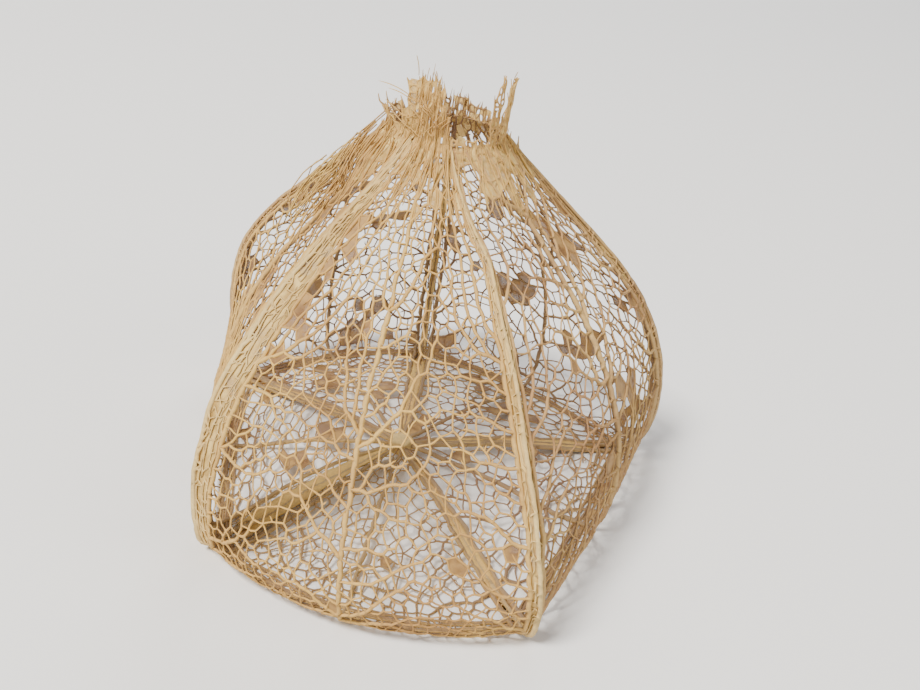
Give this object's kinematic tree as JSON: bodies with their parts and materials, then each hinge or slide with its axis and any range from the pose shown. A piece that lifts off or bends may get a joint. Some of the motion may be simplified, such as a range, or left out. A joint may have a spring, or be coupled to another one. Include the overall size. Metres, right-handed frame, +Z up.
{
  "type": "skeletonised physalis husk",
  "caption": "Dried physalis husk, skin gone, a hollow lantern of lace veins on five main ribs with torn tips.",
  "frame": {"origin": "on the surface that the husk rests on, under the middle of its box", "axes": "+Z up from the stalk end to the torn tips, -Y towards the viewer of the picture, +X to the viewer's right"},
  "size_m": [0.0388, 0.0432, 0.0341],
  "materials": {
    "husk": "matt dried plant fibre, straw to orange-brown"
  },
  "bodies": {
    "root": {"husk": "husk"}
  },
  "joints": []
}
